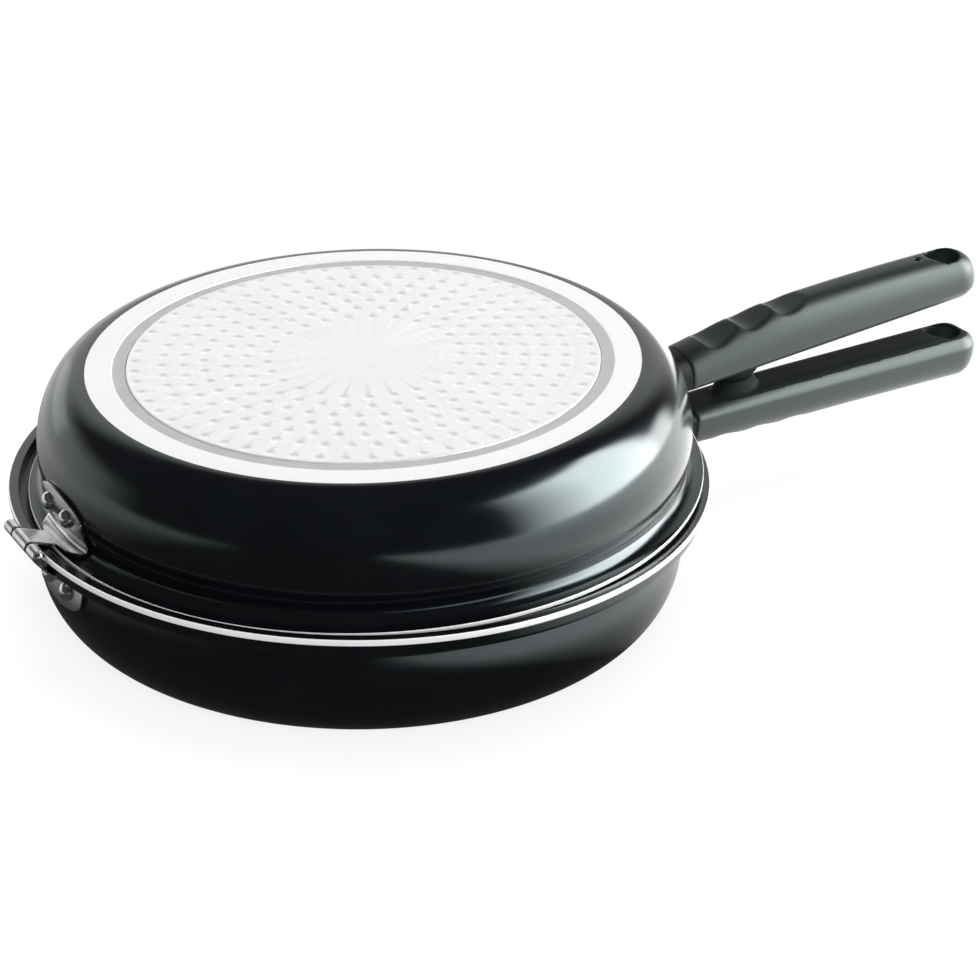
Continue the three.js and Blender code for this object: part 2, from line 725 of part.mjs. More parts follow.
// A block that fills everything past the plane half way between the two seam faces
function padCutterFor(pan) {
  const seams = [lower, upper].map((each) => {
    const toWorld = new THREE.Matrix4().multiplyMatrices(groups.get(each).matrixWorld, gripFrame(each));
    const centre = new THREE.Vector3(padPlace(each), 0, 0).applyMatrix4(toWorld);
    const ahead = new THREE.Vector3(padPlace(each) + grip.padHalfLength, 0, 0).applyMatrix4(toWorld);
    return { centre, angle: Math.atan2(ahead.z - centre.z, ahead.x - centre.x), toWorld };
  });
  const middle = seams[0].centre.clone().lerp(seams[1].centre, 1 / 2);
  const slope = (seams[0].angle + seams[1].angle) / 2;
  const away = pan === lower ? 1 : -1;
  const reach = 2 * grip.padHalfLength;
  const cut = block([-reach, -reach, -gap / 2], [reach, reach, reach]);
  const place = new THREE.Matrix4().makeTranslation(middle.x, 0, middle.z);
  place.multiply(new THREE.Matrix4().makeRotationY(-slope));
  if (away < 0) place.multiply(new THREE.Matrix4().makeRotationX(Math.PI));
  const own = pan === lower ? seams[0] : seams[1];
  return moved(cut, own.toWorld.clone().invert().multiply(place));
}

// Finishes

const finishes = {
  enamel: { color: 0x17191c, roughness: 0.22, metalness: 0.0 },
  discSteel: { color: 0xc9cbcc, roughness: 0.34, metalness: 1.0 },
  steel: { color: 0xd3d5d6, roughness: 0.18, metalness: 1.0 },
  aluminium: { color: 0xb9bcbe, roughness: 0.4, metalness: 1.0 },
  grip: { color: 0x2b2d2e, roughness: 0.42, metalness: 0.0 },
  guard: { color: 0x111213, roughness: 0.3, metalness: 0.4 },
};

const whole = new THREE.Group();

function addPiece(pan, name, solid, finish) {
  const mesh = new THREE.Mesh(geometryOf(solid), new THREE.MeshStandardMaterial(finishes[finish]));
  mesh.name = name;
  groups.get(pan).add(mesh);
}

// Assembly

for (const pan of [lower, upper]) {
  const rivets = rivetFrames(pan);
  const holes = rivets.map(rivetHole);
  const toPan = gripFrame(pan);
  const clear = keepOut(pan);
  const drilled = (solid) => holes.reduce((left, hole) => left.subtract(hole), solid);
  const body = revolve([...footLine(pan), ...pan.outer, ...pan.inner]);
  addPiece(pan, `${pan.name}_pan`, drilled(body), 'enamel');
  addPiece(pan, `${pan.name}_base_disc`, baseDisc(pan), 'discSteel');
  addPiece(pan, `${pan.name}_handle_boss`, moved(handleBoss(pan), toPan).subtract(clear), 'aluminium');
  addPiece(pan, `${pan.name}_flame_guard`, moved(flameGuard(pan), toPan).subtract(clear), 'guard');
  addPiece(pan, `${pan.name}_grip`, moved(gripSolid(pan, padCutterFor(pan)), toPan), 'grip');
  addPiece(pan, `${pan.name}_handle_screw`, moved(handleScrew(pan), toPan), 'steel');
  addPiece(pan, `${pan.name}_spring_washer`, moved(springWasher(pan), toPan), 'steel');
  const plate = pan === lower ? hingeBracket() : hingeHook();
  addPiece(pan, pan === lower ? 'lower_hinge_bracket' : 'upper_hinge_hook', drilled(plate), 'steel');
  rivets.forEach(({ frame, thickness }, i) => {
    const end = (i === 0) === (pan === upper) ? 'rear' : 'front';
    addPiece(pan, `${pan.name}_rivet_${end}`, moved(rivetSolid(thickness), frame), 'steel');
  });
}
const pinPlace = new THREE.Matrix4().makeTranslation(pinX, 0, lower.depth - pinZ);
addPiece(lower, 'hinge_pin', moved(hingePin(), pinPlace), 'steel');

for (const group of groups.values()) whole.add(group);

export default whole;
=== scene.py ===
"""The double sided flip pan finished for its picture: enamelled pans with bare aluminium edges,
dimpled base discs, moulded grips and a polished hook hinge."""

import math
from types import SimpleNamespace as Sizes

import bmesh
import bpy
from mathutils import Matrix, Vector


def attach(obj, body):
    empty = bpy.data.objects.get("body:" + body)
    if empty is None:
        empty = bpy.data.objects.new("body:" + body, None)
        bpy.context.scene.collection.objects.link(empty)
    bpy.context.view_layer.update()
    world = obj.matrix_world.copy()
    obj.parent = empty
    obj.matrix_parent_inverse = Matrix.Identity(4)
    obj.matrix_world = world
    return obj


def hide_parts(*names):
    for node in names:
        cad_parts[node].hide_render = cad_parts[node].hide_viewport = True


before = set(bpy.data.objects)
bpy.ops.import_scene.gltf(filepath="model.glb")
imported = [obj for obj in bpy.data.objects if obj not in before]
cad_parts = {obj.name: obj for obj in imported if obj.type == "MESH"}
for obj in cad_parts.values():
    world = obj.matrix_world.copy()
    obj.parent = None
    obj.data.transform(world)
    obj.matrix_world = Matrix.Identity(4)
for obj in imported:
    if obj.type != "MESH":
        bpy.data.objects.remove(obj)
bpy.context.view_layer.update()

# Sizes in millimetres. Each pan is drawn in its own frame, where z is the depth from the plane of
# its mouth

MM = 0.001
GAP = 0.3  # clearance between pieces
ROUND = 256  # flats round a pan
SMALL_ROUND = 40  # flats round the pin and the rivets

shell = Sizes(
    wide_radius=124.4, neck_inset=2.1, wall=2.6, floor=5.0, corner_reach=19.9,
    inner_corner_reach=21.8, ring_width=10.2, ring_rise=0.35, groove_width=5.1, disc_thickness=1.0,
    pocket_round=0.12, ring_round=0.15,
)
lower = Sizes(
    name="lower", depth=50.7, wide_depth=25.7, neck_depth=12.6, flare_rise=5.1, lip_play=1.0,
    rim_width=4.0, rim_band=2.3, step_inset=1.7, step_corner=1.5, bare_width=0.5, band_round=0.5,
    rim_round=0.35, recess_round=0.5,
)
upper = Sizes(
    name="upper", depth=46.3, wide_depth=18.0, neck_depth=6.5, flare_width=6.7, flare_rise=5.0,
    lip_face=3.0, lip_round=0.3, flare_round=0.25,
)
hinge = Sizes(
    pin_radius=1.2, pin_standoff=2.6, pin_rise=1.3, sheet=1.0, plate=1.2, plate_half=18.5,
    tongue_half=6.0, tongue_foot=2.0, eye_inner=7.5, eye_outer=14.5, side_play=2.56,
    rest_angle=1.71, arm_angle=52.0, arm_reach=10.0, hook_curl=200.0, eye_curl=290.0,
    bend_play=0.4, bend_run=1.6, ledge_reach=0.5, ledge_straight=3.0, ledge_spare=0.4,
    hook_extra=0.1, edge_round=0.25, arm_straight=0.7,
)
pin_head = Sizes(
    radius=2.1, thickness=0.9, straight=0.45, seat_round=0.25, edge_round=0.3, tip_share=0.9,
    tip_round=0.6, crown=0.1,
)
upper.plate = Sizes(start=4.2, rivet=15.0, shoulder=16.1, apex=22.4)
lower.plate = Sizes(start=12.6, rivet=18.4, shoulder=19.8, apex=25.6)
rivet = Sizes(
    half_spacing=8.2, radius=3.5, height=2.9, flange=0.5, dome_inset=0.15, flange_round=0.12,
    seat=0.1, shank_radius=2.1, inner_radius=2.7, inner_height=0.8, inner_play=0.5,
    inner_round=0.15, inner_tip_round=0.3, dome_end=8.0,
)
grip = Sizes(
    standoff=15.0, length=152.0, half_width=12.0, flat_half=4.0, root_edge=3.8, end_edge=5.2,
    edge_angle=68.0, belly_place=60.0, root_round=0.8, hollow_start=10.4, hollow_pitch=17.7,
    hollow_depth=2.4, hollows=3, end_wall=7.2, end_turn=80.0, hole_radius=7.5, hole_straight=1.0,
    pad_reach=175.6, pad_half_length=11.3, pad_half_width=6.8, pad_height=9.0, pad_seat=2.0,
    dot_radius=1.6, dot_depth=2.5, dot_standoff=5.1, loaf_power=2.7, hollow_power=0.6,
    hollow_blend_share=0.2, least_blend=0.02, mesh_cell=0.55,
    seam_band=0.7,  # the seam face is matt up to this height
)
lower.grip = Sizes(
    seam_depth=5.15, slope=-1.8, root_height=17.6, belly_height=19.0, end_height=20.4,
    root_proud=-0.6, belly_proud=1.15,
)
upper.grip = Sizes(
    seam_depth=-0.3, slope=4.11, root_height=15.3, belly_height=22.2, end_height=18.6,
    root_proud=0.9, belly_proud=0.9,
)
guard = Sizes(inset=0.05, wall=1.2, bite=1.0, least_depth=0.01)
counterbore = Sizes(depth=8.0, radius=4.5)
# Shares of a closing pad's half widths that are left at shares of its height
pad_shares = (
    (0, 1), (0.12, 0.985), (0.25, 0.93), (0.36, 0.87), (0.45, 0.8), (0.53, 0.72), (0.6, 0.62),
    (0.72, 0.4),
)
dimple = Sizes(
    radius=2.2, depth=0.42, spacing=9.2, steps=10, round=1080, middle_radius=0.5, disc_edge=0.3,
)
dimple_rows = (86.0, 75.9, 68.0, 60.2, 52.3, 44.5, 36.6)

neck_radius = shell.wide_radius - shell.neck_inset
ring_outer = shell.wide_radius - shell.corner_reach
ring_inner = ring_outer - shell.ring_width
disc_radius = ring_inner - shell.groove_width
floor_radius = shell.wide_radius - shell.wall - shell.inner_corner_reach
ledge_depth = lower.neck_depth - lower.flare_rise - shell.wall
pocket_radius = disc_radius + GAP
pocket_depth = shell.disc_thickness + GAP
lip_radius = neck_radius + upper.flare_width
recess_radius = lip_radius + lower.lip_play
rim_radius = recess_radius + lower.rim_width
step_radius = rim_radius - lower.step_inset
lower.flare_width = step_radius - lower.step_corner - neck_radius
lower.edge, upper.edge = rim_radius, lip_radius
pin_x, pin_z = -(rim_radius + hinge.pin_standoff), lower.depth + hinge.pin_rise
pin_hole = hinge.pin_radius + GAP
upper_pin = (-rim_radius - hinge.pin_standoff - hinge.side_play, hinge.pin_rise + ledge_depth - GAP)
hole_start = grip.length - grip.end_wall - 2 * grip.hole_radius - grip.hole_straight

# Places: from each pan's frame, and from each grip's frame, to the row frame


def upper_frame():
    turn = Matrix.Rotation(-math.radians(hinge.rest_angle), 4, "Y")
    pin = turn @ Vector((upper_pin[0], 0, upper_pin[1]))
    return Matrix.Translation(Vector((pin_x, 0, pin_z)) - pin) @ turn


lower.frame = Matrix.Translation((0, 0, lower.depth)) @ Matrix.Rotation(math.pi, 4, "X")
upper.frame = upper_frame()
for pan in (lower, upper):
    pan.root = pan.edge + grip.standoff
    pan.pad_place = grip.pad_reach - pan.root - (hinge.side_play if pan is upper else 0)
    turn = Matrix.Rotation(-math.radians(pan.grip.slope), 4, "Y")
    pan.grip_frame = pan.frame @ Matrix.Translation((pan.root, 0, pan.grip.seam_depth)) @ turn

# Outlines


def lerp(a, b, share):
    return a + (b - a) * share


def arc(centre, semi, start, end, count):
    """Points on part of an ellipse, angles in degrees."""
    (x, z), (wide, high), points = centre, semi, []
    for i in range(count + 1):
        angle = math.radians(lerp(start, end, i / count))
        points.append((x + wide * math.cos(angle), z + high * math.sin(angle)))
    return points


def softened(outline, count=4, longest_share=0.45, hold_share=1.1):
    """A closed outline of (x, z, finish, round), its corners rounded, as (x, z, finish).

    A point just before and after each round keeps the shading of its flat neighbours flat."""
    points = []
    for i, (x, z, finish, size) in enumerate(outline):
        if not size:
            points.append((x, z, finish))
            continue
        here, last, coming = Vector((x, z)), outline[i - 1], outline[(i + 1) % len(outline)]
        before, after = Vector(last[:2]) - here, Vector(coming[:2]) - here
        start, end = [side * min(size / side.length, longest_share) for side in (before, after)]
        curve = [(start * (1 - k / count) ** 2 + end * (k / count) ** 2) for k in range(count + 1)]
        steps = [(start * hold_share, last[2]), *((step, finish) for step in curve)]
        steps.append((end * hold_share, finish))
        points += [(here.x + step.x, here.y + step.y, own) for step, own in steps]
    return points


def wall_at(pan, depth):
    """Outer radius of a pan's wall between its widest place and its mouth."""
    if depth < pan.neck_depth:
        fall = min((pan.neck_depth - depth) / pan.flare_rise, 1)
        return neck_radius + pan.flare_width * (1 - math.sqrt(1 - fall * fall))
    if depth > pan.wide_depth:
        rise = (depth - pan.wide_depth) / (pan.depth - pan.wide_depth)
        return ring_outer + shell.corner_reach * math.sqrt(max(1 - rise * rise, 0))
    rise = (depth - pan.neck_depth) / (pan.wide_depth - pan.neck_depth)
    return neck_radius + shell.neck_inset * math.sin(rise * math.pi / 2)


def marked(points, finish):
    return [(x, z, finish, 0) for x, z in points]


def wall_points(pan, inset, start, end, count):
    depths = [lerp(start, end, i / count) for i in range(1, count)]
    return [(wall_at(pan, depth) - inset, depth) for depth in depths]


def foot_outline(pan):
    level = pan.depth - shell.ring_rise
    return [
        (0, pan.depth - pocket_depth, "groove", 0),
        (pocket_radius, pan.depth - pocket_depth, "groove", 0),
        (pocket_radius, level, "groove", shell.pocket_round),
        (ring_inner, level, "ring", 0),
        (ring_inner + shell.ring_rise, pan.depth, "ring", shell.ring_round),
    ]


def outer_outline(pan):
    semi = (shell.corner_reach, pan.depth - pan.wide_depth)
    corner = arc((ring_outer, pan.wide_depth), semi, 90, 0, 32)
    return marked(corner + wall_points(pan, 0, pan.wide_depth, pan.neck_depth, 12), "enamel")


def flare_outline(pan, grow, start_radius, count):
    """The flare under the mouth, from a radius down to the neck, grown inwards by the wall."""
    centre = (neck_radius + pan.flare_width, pan.neck_depth)
    semi = (pan.flare_width + grow[0], pan.flare_rise + grow[1])
    start = math.degrees(math.acos((start_radius - centre[0]) / semi[0]))
    return arc(centre, semi, 360 - start, 180, count)


def inner_outline(pan):
    semi = (shell.inner_corner_reach, pan.depth - shell.floor - pan.wide_depth)
    wall = wall_points(pan, shell.wall, pan.neck_depth, pan.wide_depth, 10)
    corner = arc((floor_radius, pan.wide_depth), semi, 0, 90, 20)
    return marked(wall + corner + [(0, pan.depth - shell.floor)], "lining")


def lower_outline():
    step_depth = ledge_depth + shell.wall
    flare = flare_outline(lower, (0, 0), neck_radius + lower.flare_width, 12)[::-1]
    rim = [
        (step_radius, step_depth, "enamel", lower.step_corner),
        (step_radius, lower.rim_band + GAP, "enamel", 0),
        (rim_radius, lower.rim_band, "edge", lower.band_round),
        (rim_radius, 0, "edge", lower.rim_round),
        (rim_radius - lower.bare_width, 0, "enamel", 0),
        (recess_radius, 0, "enamel", lower.recess_round),
    ]
    inner = flare_outline(lower, (shell.wall, shell.wall), recess_radius, 14)
    return foot_outline(lower) + outer_outline(lower) + marked(flare, "enamel") + rim \
        + marked(inner, "lining") + inner_outline(lower)


def upper_outline():
    flare = flare_outline(upper, (0, 0), lip_radius, 14)[::-1]
    start = lip_radius - upper.lip_face
    inner = flare_outline(upper, (shell.wall, upper.neck_depth - upper.flare_rise), start, 10)
    lip = [(lip_radius, 0, "edge", upper.lip_round), (start, 0, "lining", 0)]
    outer = marked(flare[:-1], "enamel") + [(*flare[-1], "edge", upper.flare_round)]
    return foot_outline(upper) + outer_outline(upper) + outer + lip \
        + marked(inner[1:], "lining") + inner_outline(upper)


# Shader maths


class Socket:
    """A shader socket that takes part in expressions: each operator adds its Math node."""

    def __init__(self, finish, link):
        self.finish, self.link = finish, link

    def maths(self, operation, *values):
        return self.finish.node("ShaderNodeMath", {"operation": operation}, dict(enumerate(values)))

    def __add__(self, other):
        return self.maths("ADD", self, other)

    def __sub__(self, other):
        return self.maths("SUBTRACT", self, other)

    def __rsub__(self, other):
        return self.maths("SUBTRACT", other, self)

    def __mul__(self, other):
        return self.maths("MULTIPLY", self, other)

    __radd__ = __add__
    __rmul__ = __mul__

    def clamped(self):
        return self.maths("MAXIMUM", self.maths("MINIMUM", self, 1.0), 0.0)

    def between(self, low, high):
        """0 below low, 1 above high."""
        return ((self - low) * (1 / (high - low))).clamped()

    def within(self, rise, fall):
        """1 between two soft edges, each given as where it starts and ends."""
        return self.between(*rise) * (1 - self.between(*fall))


class Finish:
    """A material and the nodes that are put into it."""

    def __init__(self, name, **fixed):
        self.material = bpy.data.materials.new(name)
        self.material.use_nodes = True
        self.tree = self.material.node_tree
        self.shader = self.tree.nodes["Principled BSDF"]
        self.place = self.node("ShaderNodeTexCoord", output="Object")
        self.feed(**fixed)

    def node(self, kind, settings=None, inputs=None, output=0):
        """A new node's output, or a list of outputs where a tuple names several."""
        made = self.tree.nodes.new(kind)
        for name, value in (settings or {}).items():
            setattr(made, name, value)
        for name, value in (inputs or {}).items():
            self.put(made.inputs[name], value)
        if isinstance(output, tuple):
            return [Socket(self, made.outputs[name]) for name in output]
        return Socket(self, made.outputs[output])

    def put(self, socket, value):
        """Links a socket or sets its value. A plain colour is given as three numbers."""
        if isinstance(value, Socket):
            self.tree.links.new(value.link, socket)
        elif socket.type == "RGBA":
            socket.default_value = (*value, 1.0)
        else:
            socket.default_value = value

    def feed(self, **values):
        """Sets the shader's own sockets, named in small letters with underscores."""
        names = {socket.name.lower().replace(" ", "_"): socket for socket in self.shader.inputs}
        for name, value in values.items():
            self.put(names[name], value)

    def noise(self, scale, detail=2.0, roughness=0.5, stretch=None):
        place = self.place if stretch is None else self.vector("MULTIPLY", self.place, stretch)
        inputs = {"Vector": place, "Scale": scale, "Detail": detail, "Roughness": roughness}
        return self.node("ShaderNodeTexNoise", None, inputs, "Fac")

    def vector(self, operation, *values, output=0):
        settings = {"operation": operation}
        return self.node("ShaderNodeVectorMath", settings, dict(enumerate(values)), output)

    def parts(self, vector):
        """The three numbers of a vector."""
        return self.node("ShaderNodeSeparateXYZ", None, {"Vector": vector}, ("X", "Y", "Z"))

    def mix(self, factor, first, second):
        """Two colours mixed. The node has its colours in sockets 6 and 7, and their mix in 2."""
        inputs = {"Factor": factor, 6: first, 7: second}
        return self.node("ShaderNodeMix", {"data_type": "RGBA"}, inputs, 2)

    def bump(self, height, distance, strength=1.0):
        inputs = {"Height": height, "Distance": distance * MM, "Strength": strength}
        return self.node("ShaderNodeBump", None, inputs, "Normal")

    def from_axis(self, pan):
        """The distance from a pan's axis, in millimetres, and the angle about it."""
        centre = pan.frame.translation * MM
        offset = self.vector("SUBTRACT", self.place, tuple(centre))
        flat = self.vector("MULTIPLY", offset, (1, 1, 0))
        x, y, _ = self.parts(flat)
        length = self.vector("LENGTH", flat, output="Value")
        return length * (1 / MM), self.angle(x, y)

    def angle(self, x, y):
        return y.maths("ARCTAN2", y, x)

    def line_noise(self, value, detail=2.0):
        """Noise along one number."""
        settings, inputs = {"noise_dimensions": "1D"}, {"W": value, "Scale": 1.0, "Detail": detail}
        return self.node("ShaderNodeTexNoise", settings, inputs, "Fac")


# Finishes


def black_enamel():
    tint = (0.84, 1.0, 1.0)
    finish = Finish("black_enamel", metallic=0.0, specular_ior_level=0.5, specular_tint=tint)
    patches = finish.noise(45, 3.0)
    fine = finish.noise(900, 2.0)
    finish.feed(base_color=finish.mix(patches, (0.0018, 0.0022, 0.0030), (0.0035, 0.0042, 0.0055)))
    finish.feed(roughness=0.12 + 0.07 * patches + 0.02 * fine)
    finish.feed(normal=finish.bump(fine, 0.01, 0.1))
    return finish.material


def cooking_lining():
    finish = Finish("cooking_lining", metallic=0.0, specular_ior_level=0.4)
    speckle = finish.noise(2600, 1.0).between(0.66, 0.74)
    patches = finish.noise(60, 3.0)
    base = finish.mix(patches, (0.012, 0.013, 0.014), (0.018, 0.019, 0.020))
    finish.feed(base_color=finish.mix(speckle, base, (0.06, 0.062, 0.065)))
    finish.feed(roughness=0.34 + 0.1 * patches)
    finish.feed(normal=finish.bump(finish.noise(1400, 2.0), 0.05, 0.3))
    return finish.material


def turned_aluminium(name, pan, metallic, bright, dull, roughness, depth):
    """Bare aluminium that was cut on a lathe: fine rings about the pan's axis."""
    finish = Finish(name, metallic=metallic)
    radius, _ = finish.from_axis(pan)
    rings = finish.line_noise(radius * 2.6, 3.0)
    patches = finish.noise(70, 3.0)
    finish.feed(base_color=finish.mix(0.55 * rings + 0.45 * patches, dull, bright))
    finish.feed(roughness=roughness + 0.12 * patches)
    finish.feed(normal=finish.bump(rings, depth, 0.5))
    return finish.material


def groove_aluminium():
    finish = Finish("groove_aluminium", metallic=0.6)
    patches, grain = finish.noise(120, 3.0), finish.noise(2200, 2.0)
    finish.feed(base_color=finish.mix(patches, (0.46, 0.47, 0.48), (0.58, 0.59, 0.60)))
    finish.feed(roughness=0.42 + 0.12 * grain, normal=finish.bump(grain, 0.06, 0.5))
    return finish.material


def disc_steel(pan):
    """Turned steel: fine rings, faint painted sheen in wedges of light and dark by the angle about
    the axis, which stands in for the reflection of the turning, and stains from heat.
    """
    finish = Finish(f"{pan.name}_disc_steel", metallic=0.6)
    radius, angle = finish.from_axis(pan)
    rings = finish.line_noise(radius * 3.1, 4.0)
    coarse = finish.line_noise(radius * 0.55, 2.0)
    # Painted sheen: light and dark wedges by the angle about the axis, put into the colour in place
    # of the turned face's reflection
    painted_sheen_fan = finish.line_noise(angle * 3.0, 3.0)
    stains = finish.noise(55, 4.0, 0.6)
    grain = finish.noise(1500, 3.0)
    tone = 0.3 * rings + 0.2 * coarse + 0.2 * painted_sheen_fan + 0.3 * grain
    base = finish.mix(tone.between(0.3, 0.72), (0.80, 0.795, 0.79), (0.97, 0.97, 0.965))
    finish.feed(base_color=finish.mix(stains.between(0.55, 0.8) * 0.4, base, (0.84, 0.78, 0.75)))
    finish.feed(roughness=0.3 + 0.16 * grain)
    finish.feed(normal=finish.bump(0.7 * rings + 0.3 * grain, 0.05, 0.6))
    return finish.material


def moulded_plastic(name, gloss, roughness):
    tint = (0.84, 1.0, 0.95)
    finish = Finish(name, metallic=0.0, specular_ior_level=gloss, specular_tint=tint)
    patches, grain = finish.noise(50, 3.0), finish.noise(1900, 3.0, 0.6)
    finish.feed(base_color=finish.mix(patches, (0.006, 0.0070, 0.0075), (0.011, 0.0125, 0.013)))
    finish.feed(roughness=roughness + 0.08 * patches + 0.05 * grain)
    finish.feed(normal=finish.bump(grain, 0.05, 0.35))
    return finish.material


def guard_steel():
    finish = Finish("guard_steel", metallic=0.0, specular_ior_level=0.12)
    patches = finish.noise(80, 3.0)
    finish.feed(base_color=finish.mix(patches, (0.0020, 0.0020, 0.0023), (0.0035, 0.0035, 0.004)))
    finish.feed(roughness=0.42 + 0.1 * patches)
    finish.feed(normal=finish.bump(finish.noise(700, 2.0), 0.03, 0.3))
    return finish.material


def polished_steel():
    """Pressed stainless sheet: polished, with fine scratches and a little grime."""
    finish = Finish("polished_steel", metallic=1.0)
    scratches = finish.noise(260, 3.0, 0.6, (1.0, 14.0, 1.0))
    patches = finish.noise(140, 3.0)
    tone = patches.between(0.3, 0.75)
    finish.feed(base_color=finish.mix(tone, (0.56, 0.57, 0.58), (0.80, 0.81, 0.81)))
    finish.feed(roughness=0.13 + 0.12 * scratches + 0.06 * patches)
    finish.feed(normal=finish.bump(scratches, 0.03, 0.25))
    return finish.material


def plain_steel():
    finish = Finish("plain_steel", metallic=1.0)
    patches, grain = finish.noise(200, 3.0), finish.noise(2500, 2.0)
    finish.feed(base_color=finish.mix(patches, (0.42, 0.42, 0.42), (0.58, 0.58, 0.58)))
    finish.feed(roughness=0.32 + 0.12 * grain, normal=finish.bump(grain, 0.04, 0.4))
    return finish.material


def cast_aluminium():
    finish = Finish("cast_aluminium", metallic=0.9)
    patches, grain = finish.noise(150, 3.0), finish.noise(1300, 4.0, 0.65)
    finish.feed(base_color=finish.mix(patches, (0.46, 0.47, 0.48), (0.60, 0.61, 0.62)))
    finish.feed(roughness=0.48 + 0.12 * grain, normal=finish.bump(grain, 0.12, 0.6))
    return finish.material


enamel, lining, groove = black_enamel(), cooking_lining(), groove_aluminium()
plastic = moulded_plastic("moulded_plastic", 0.5, 0.36)
seam_plastic = moulded_plastic("seam_plastic", 0.1, 0.6)
sleeve, polished = guard_steel(), polished_steel()
screw_finish, boss_finish = plain_steel(), cast_aluminium()


def body_finishes(pan):
    finishes = {"enamel": enamel, "lining": lining, "groove": groove}
    finishes["ring"] = turned_aluminium(
        f"{pan.name}_ring", pan, metallic=0.6, bright=(0.96, 0.96, 0.955), dull=(0.91, 0.91, 0.91),
        roughness=0.36, depth=0.04,
    )
    finishes["edge"] = turned_aluminium(
        f"{pan.name}_edge", pan, metallic=0.25, bright=(0.97, 0.97, 0.97), dull=(0.91, 0.92, 0.92),
        roughness=0.35, depth=0.03,
    )
    return finishes


# Meshes


def tidy(mesh, sharp):
    """Merges doubled points, turns the faces outwards and smooths all but the sharp edges."""
    work = bmesh.new()
    work.from_mesh(mesh)
    bmesh.ops.remove_doubles(work, verts=work.verts, dist=1e-6)
    bmesh.ops.dissolve_degenerate(work, edges=work.edges, dist=1e-6)
    bmesh.ops.recalc_face_normals(work, faces=work.faces)
    work.to_mesh(mesh)
    work.free()
    mesh.shade_smooth()
    mesh.set_sharp_from_angle(angle=math.radians(sharp))


def raw_object(name, place, points, faces, marks=None):
    """A mesh object from points in millimetres in a piece's own frame."""
    mesh = bpy.data.meshes.new(name)
    mesh.from_pydata([(place @ Vector(point)) * MM for point in points], [], faces)
    if marks:
        mesh.polygons.foreach_set("material_index", marks)
    made = bpy.data.objects.new(name, mesh)
    bpy.context.scene.collection.objects.link(made)
    return made


def settle(made):
    """Puts what an object's modifiers make into its own mesh."""
    bpy.context.view_layer.update()
    evaluated = made.evaluated_get(bpy.context.evaluated_depsgraph_get())
    mesh = bpy.data.meshes.new_from_object(evaluated)
    made.modifiers.clear()
    made.data = mesh
    mesh.name = made.name


def add(made, kind, **settings):
    modifier = made.modifiers.new(kind.lower(), kind)
    for name, value in settings.items():
        setattr(modifier, name, value)


def dress(made, pan, finishes, node, sharp=30):
    """Finishes a piece and sets it in the assembly in place of its CAD node."""
    tidy(made.data, sharp)
    for finish in finishes:
        made.data.materials.append(finish)
    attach(made, f"{pan.name}_pan")
    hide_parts(node)


def turned(outline, count=ROUND):
    """Points, faces and finishes of a closed outline of (radius, z, finish) turned about Z."""
    points, faces, marks = [], [], []
    for i in range(count):
        angle = 2 * math.pi * i / count
        points += [(r * math.cos(angle), r * math.sin(angle), z) for r, z, _ in outline]
    size = len(outline)
    for i in range(count):
        a, b = i * size, (i + 1) % count * size
        for k in range(size):
            n = (k + 1) % size
            if outline[k][0] or outline[n][0]:
                faces.append((a + k, b + k, b + n, a + n))
                marks.append(outline[k][2])
    return points, faces, marks


def loft(rings):
    """Rings of points joined side by side, with flat ends."""
    count = len(rings[0])
    points = [point for ring in rings for point in ring]
    faces = []
    for r in range(len(rings) - 1):
        for k in range(count):
            a, b = r * count + k, r * count + (k + 1) % count
            faces.append((a, b, b + count, a + count))
    last = (len(rings) - 1) * count
    faces += [tuple(range(count))[::-1], tuple(range(last, last + count))]
    return points, faces


def prism(name, place, outline, ends):
    """A flat outline in x and y between two heights."""
    return raw_object(name, place, *loft([[(x, y, z) for x, y in outline] for z in ends]))


def sheet(name, place, rows, thickness):
    """Pressed sheet of even thickness with softened edges, on a grid of points."""
    width = len(rows[0])
    points = [point for row in rows for point in row]
    faces = []
    for r in range(len(rows) - 1):
        for k in range(width - 1):
            a = r * width + k
            faces.append((a, a + 1, a + width + 1, a + width))
    made = raw_object(name, place, points, faces)
    tidy(made.data, 180)
    add(made, "SOLIDIFY", thickness=thickness * MM, offset=0.0)
    limit = {"limit_method": "ANGLE", "angle_limit": math.radians(50)}
    add(made, "BEVEL", width=hinge.edge_round * MM, segments=3, **limit)
    settle(made)
    return made


# Pans


def pan_body(pan, outline):
    finishes = body_finishes(pan)
    names = list(finishes)
    points, faces, marks = turned(softened(outline))
    marks = [names.index(mark) for mark in marks]
    made = raw_object(f"{pan.name}_pan_body", pan.frame, points, faces, marks)
    dress(made, pan, finishes.values(), f"{pan.name}_pan", 25)


def dimple_at(radius, angle):
    """How deep the rings of punched dimples are at a place of the disc."""
    for row, ring in enumerate(dimple_rows):
        if abs(radius - ring) < dimple.radius:
            pitch = 2 * math.pi / round(2 * math.pi * ring / dimple.spacing)
            shift = row % 2 / 2
            away = (angle / pitch - shift + 0.5) % 1 - 0.5
            off = math.hypot(radius - ring, away * pitch * ring) / dimple.radius
            return dimple.depth * max(1 - off * off, 0)
    return 0


def base_disc(pan):
    """The disc: a fine round grid on its face, with the dimples pressed into it."""
    reach, steps, edge = dimple.radius, dimple.steps, dimple.disc_edge
    radii = [dimple.middle_radius, dimple_rows[-1] / 2]
    for ring in dimple_rows[::-1]:
        radii += [lerp(ring - reach, ring + reach, i / steps) for i in range(steps + 1)]
    rim = [(disc_radius - edge, 0), (disc_radius - edge / 3, edge / 3), (disc_radius, edge)]
    rim.append((disc_radius, shell.disc_thickness))
    rings = []
    for radius, drop in [(r, None) for r in radii] + rim:
        ring = []
        for i in range(dimple.round):
            angle = 2 * math.pi * i / dimple.round
            fall = dimple_at(radius, angle) if drop is None else drop
            ring.append((radius * math.cos(angle), radius * math.sin(angle), pan.depth - fall))
        rings.append(ring)
    made = raw_object(f"{pan.name}_dimpled_disc", pan.frame, *loft(rings))
    dress(made, pan, [disc_steel(pan)], f"{pan.name}_base_disc", 40)


